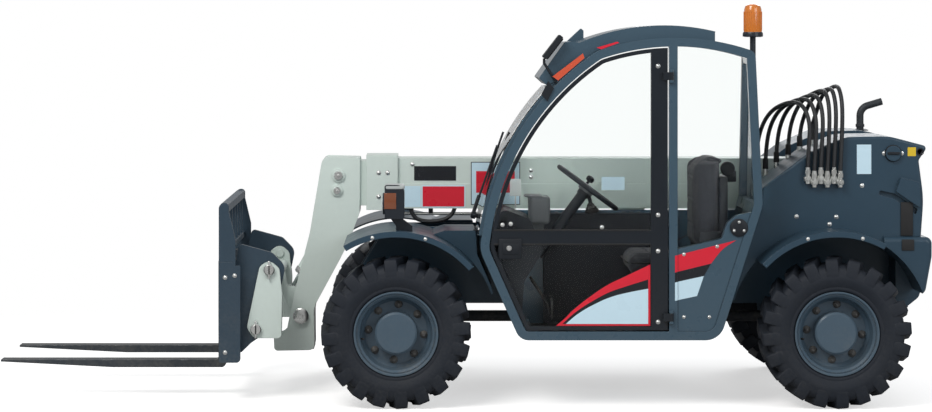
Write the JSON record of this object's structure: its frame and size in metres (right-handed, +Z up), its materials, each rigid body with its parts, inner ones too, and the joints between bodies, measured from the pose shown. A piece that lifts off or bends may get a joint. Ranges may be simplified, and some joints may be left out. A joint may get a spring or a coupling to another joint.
{
  "type": "telehandler",
  "caption": "Compact telehandler with pallet forks, slate bodywork, left-hand cab and pale telescopic boom",
  "frame": {"origin": "on the ground, in the middle of the machine's box", "axes": "+X forward, over the forks; +Y to the machine's left, the cab side; +Z up"},
  "size_m": [4.891, 1.8, 2.0712],
  "materials": {
    "tyre_rubber": null,
    "wheel_paint": null,
    "slate_paint": null,
    "cab_paint": null,
    "boom_paint": null,
    "carriage_paint": null,
    "fork_steel": null,
    "axle_paint": null,
    "cast_metal": null,
    "cab_glass": null,
    "door_paint": null,
    "trim_plastic": null,
    "seat_cover": null,
    "amber_lens": null,
    "lamp_plastic": null,
    "rod_chrome": null,
    "exhaust_steel": null,
    "fitting_zinc": null,
    "hose_rubber": null
  },
  "bodies": {
    "chassis": {"chassis_frame": "slate_paint", "front_axle": "axle_paint", "rear_axle": "axle_paint", "drive_shafts": "axle_paint", "gearbox": "cast_metal", "engine_block": "cast_metal", "engine_pod": "slate_paint", "front_fenders": "slate_paint", "front_cowls": "slate_paint", "front_lamps": "lamp_plastic", "rear_body_left": "slate_paint", "rear_body_right": "slate_paint", "rear_fenders": "slate_paint", "counterweight": "slate_paint", "rear_hood": "slate_paint", "tow_hitch": "axle_paint", "exhaust": "exhaust_steel", "cab_frame": "cab_paint", "cab_tub": "cab_paint", "cab_roof": "cab_paint", "cab_glass": "cab_glass", "dashboard": "trim_plastic", "seat_base": "trim_plastic", "seat_cushions": "seat_cover", "control_console": "trim_plastic", "wiper": "trim_plastic", "mirror": "trim_plastic", "beacon": "amber_lens", "hoses": "hose_rubber", "hose_fittings": "fitting_zinc"},
    "cab_door_body": {"cab_door": "door_paint", "door_glass": "cab_glass"},
    "engine_lid": {"engine_hood": "slate_paint"},
    "steering": {"steering_wheel": "trim_plastic"},
    "boom": {"boom_outer": "boom_paint"},
    "boom_slide": {"boom_inner": "boom_paint", "boom_head": "boom_paint"},
    "lift_cylinder": {"lift_barrel": "boom_paint"},
    "lift_piston": {"lift_rod": "rod_chrome"},
    "tilt_cylinder": {"tilt_barrel": "boom_paint"},
    "tilt_piston": {"tilt_rod": "rod_chrome"},
    "carriage": {"coupler": "boom_paint", "fork_carriage": "carriage_paint", "load_guard": "carriage_paint"},
    "left_fork": {"fork_left": "fork_steel"},
    "right_fork": {"fork_right": "fork_steel"},
    "hub_fl": {"knuckle_fl": "axle_paint"},
    "wheel_fl": {"tyre_fl": "tyre_rubber", "rim_fl": "wheel_paint"},
    "hub_fr": {"knuckle_fr": "axle_paint"},
    "wheel_fr": {"tyre_fr": "tyre_rubber", "rim_fr": "wheel_paint"},
    "hub_rl": {"knuckle_rl": "axle_paint"},
    "wheel_rl": {"tyre_rl": "tyre_rubber", "rim_rl": "wheel_paint"},
    "hub_rr": {"knuckle_rr": "axle_paint"},
    "wheel_rr": {"tyre_rr": "tyre_rubber", "rim_rr": "wheel_paint"}
  },
  "joints": [
    {"name": "boom_lift", "type": "hinge", "parent": "chassis", "child": "boom", "pos_m": [-1.9795, 0, 1.13], "axis": [0, -1, 0], "range_deg": [-1.9, 60]},
    {"name": "boom_extend", "type": "slide", "parent": "boom", "child": "boom_slide", "axis": [1, 0, 0], "range_m": [0, 1.7]},
    {"name": "carriage_tilt", "type": "hinge", "parent": "boom_slide", "child": "carriage", "pos_m": [0.8695, 0, 0.398], "axis": [0, 1, 0], "range_deg": [-12, 95]},
    {"name": "left_fork_shift", "type": "slide", "parent": "carriage", "child": "left_fork", "axis": [0, 1, 0], "range_m": [-0.09, 0.12]},
    {"name": "right_fork_shift", "type": "slide", "parent": "carriage", "child": "right_fork", "axis": [0, -1, 0], "range_m": [-0.09, 0.12]},
    {"name": "lift_cylinder_swing", "type": "hinge", "parent": "chassis", "child": "lift_cylinder", "pos_m": [-1.7195, 0, 0.54], "axis": [0, -1, 0], "range_deg": [-1.83, 48.52]},
    {"name": "lift_rod_out", "type": "slide", "parent": "lift_cylinder", "child": "lift_piston", "axis": [0.9285, 0, 0.3714], "range_m": [-0.03, 0.62]},
    {"name": "tilt_cylinder_swing", "type": "hinge", "parent": "boom_slide", "child": "tilt_cylinder", "pos_m": [0.6955, 0, 0.925], "axis": [0, 1, 0], "range_deg": [-3, 6]},
    {"name": "tilt_rod_out", "type": "slide", "parent": "tilt_cylinder", "child": "tilt_piston", "axis": [0.4851, 0, -0.8745], "range_m": [-0.04, 0.24]},
    {"name": "door_swing", "type": "hinge", "parent": "chassis", "child": "cab_door_body", "pos_m": [-1.0545, 0.884, 1.1], "axis": [0, 0, 1], "range_deg": [0, 120]},
    {"name": "hood_lift", "type": "hinge", "parent": "chassis", "child": "engine_lid", "pos_m": [-0.7495, -0.198, 0.872], "axis": [-1, 0, 0], "range_deg": [0, 65]},
    {"name": "steering_wheel_turn", "type": "hinge", "parent": "chassis", "child": "steering", "pos_m": [-0.6485, 0.53, 1.111], "axis": [-0.5949, 0, 0.8038], "continuous": true},
    {"name": "steer_fl", "type": "hinge", "parent": "chassis", "child": "hub_fl", "pos_m": [0.3505, 0.6, 0.38481], "axis": [0, 0, 1], "range_deg": [-35, 35]},
    {"name": "roll_fl", "type": "hinge", "parent": "hub_fl", "child": "wheel_fl", "pos_m": [0.3505, 0.768, 0.38481], "axis": [0, 1, 0], "continuous": true},
    {"name": "steer_fr", "type": "hinge", "parent": "chassis", "child": "hub_fr", "pos_m": [0.3505, -0.6, 0.38481], "axis": [0, 0, 1], "range_deg": [-35, 35]},
    {"name": "roll_fr", "type": "hinge", "parent": "hub_fr", "child": "wheel_fr", "pos_m": [0.3505, -0.768, 0.38481], "axis": [0, 1, 0], "continuous": true},
    {"name": "steer_rl", "type": "hinge", "parent": "chassis", "child": "hub_rl", "pos_m": [-1.8995, 0.6, 0.38481], "axis": [0, 0, 1], "range_deg": [-35, 35]},
    {"name": "roll_rl", "type": "hinge", "parent": "hub_rl", "child": "wheel_rl", "pos_m": [-1.8995, 0.768, 0.38481], "axis": [0, 1, 0], "continuous": true},
    {"name": "steer_rr", "type": "hinge", "parent": "chassis", "child": "hub_rr", "pos_m": [-1.8995, -0.6, 0.38481], "axis": [0, 0, 1], "range_deg": [-35, 35]},
    {"name": "roll_rr", "type": "hinge", "parent": "hub_rr", "child": "wheel_rr", "pos_m": [-1.8995, -0.768, 0.38481], "axis": [0, 1, 0], "continuous": true}
  ],
  "couplings": [
    {"joint": "lift_cylinder_swing", "follows": "boom_lift", "ratio": 0.80367},
    {"joint": "lift_rod_out", "follows": "boom_lift", "m_per_rad": 0.57336},
    {"joint": "tilt_cylinder_swing", "follows": "carriage_tilt", "ratio": 0.03455},
    {"joint": "tilt_rod_out", "follows": "carriage_tilt", "m_per_rad": 0.11216},
    {"joint": "steer_fr", "follows": "steer_fl", "ratio": 1},
    {"joint": "steer_rl", "follows": "steer_fl", "ratio": -1},
    {"joint": "steer_rr", "follows": "steer_fl", "ratio": -1}
  ]
}
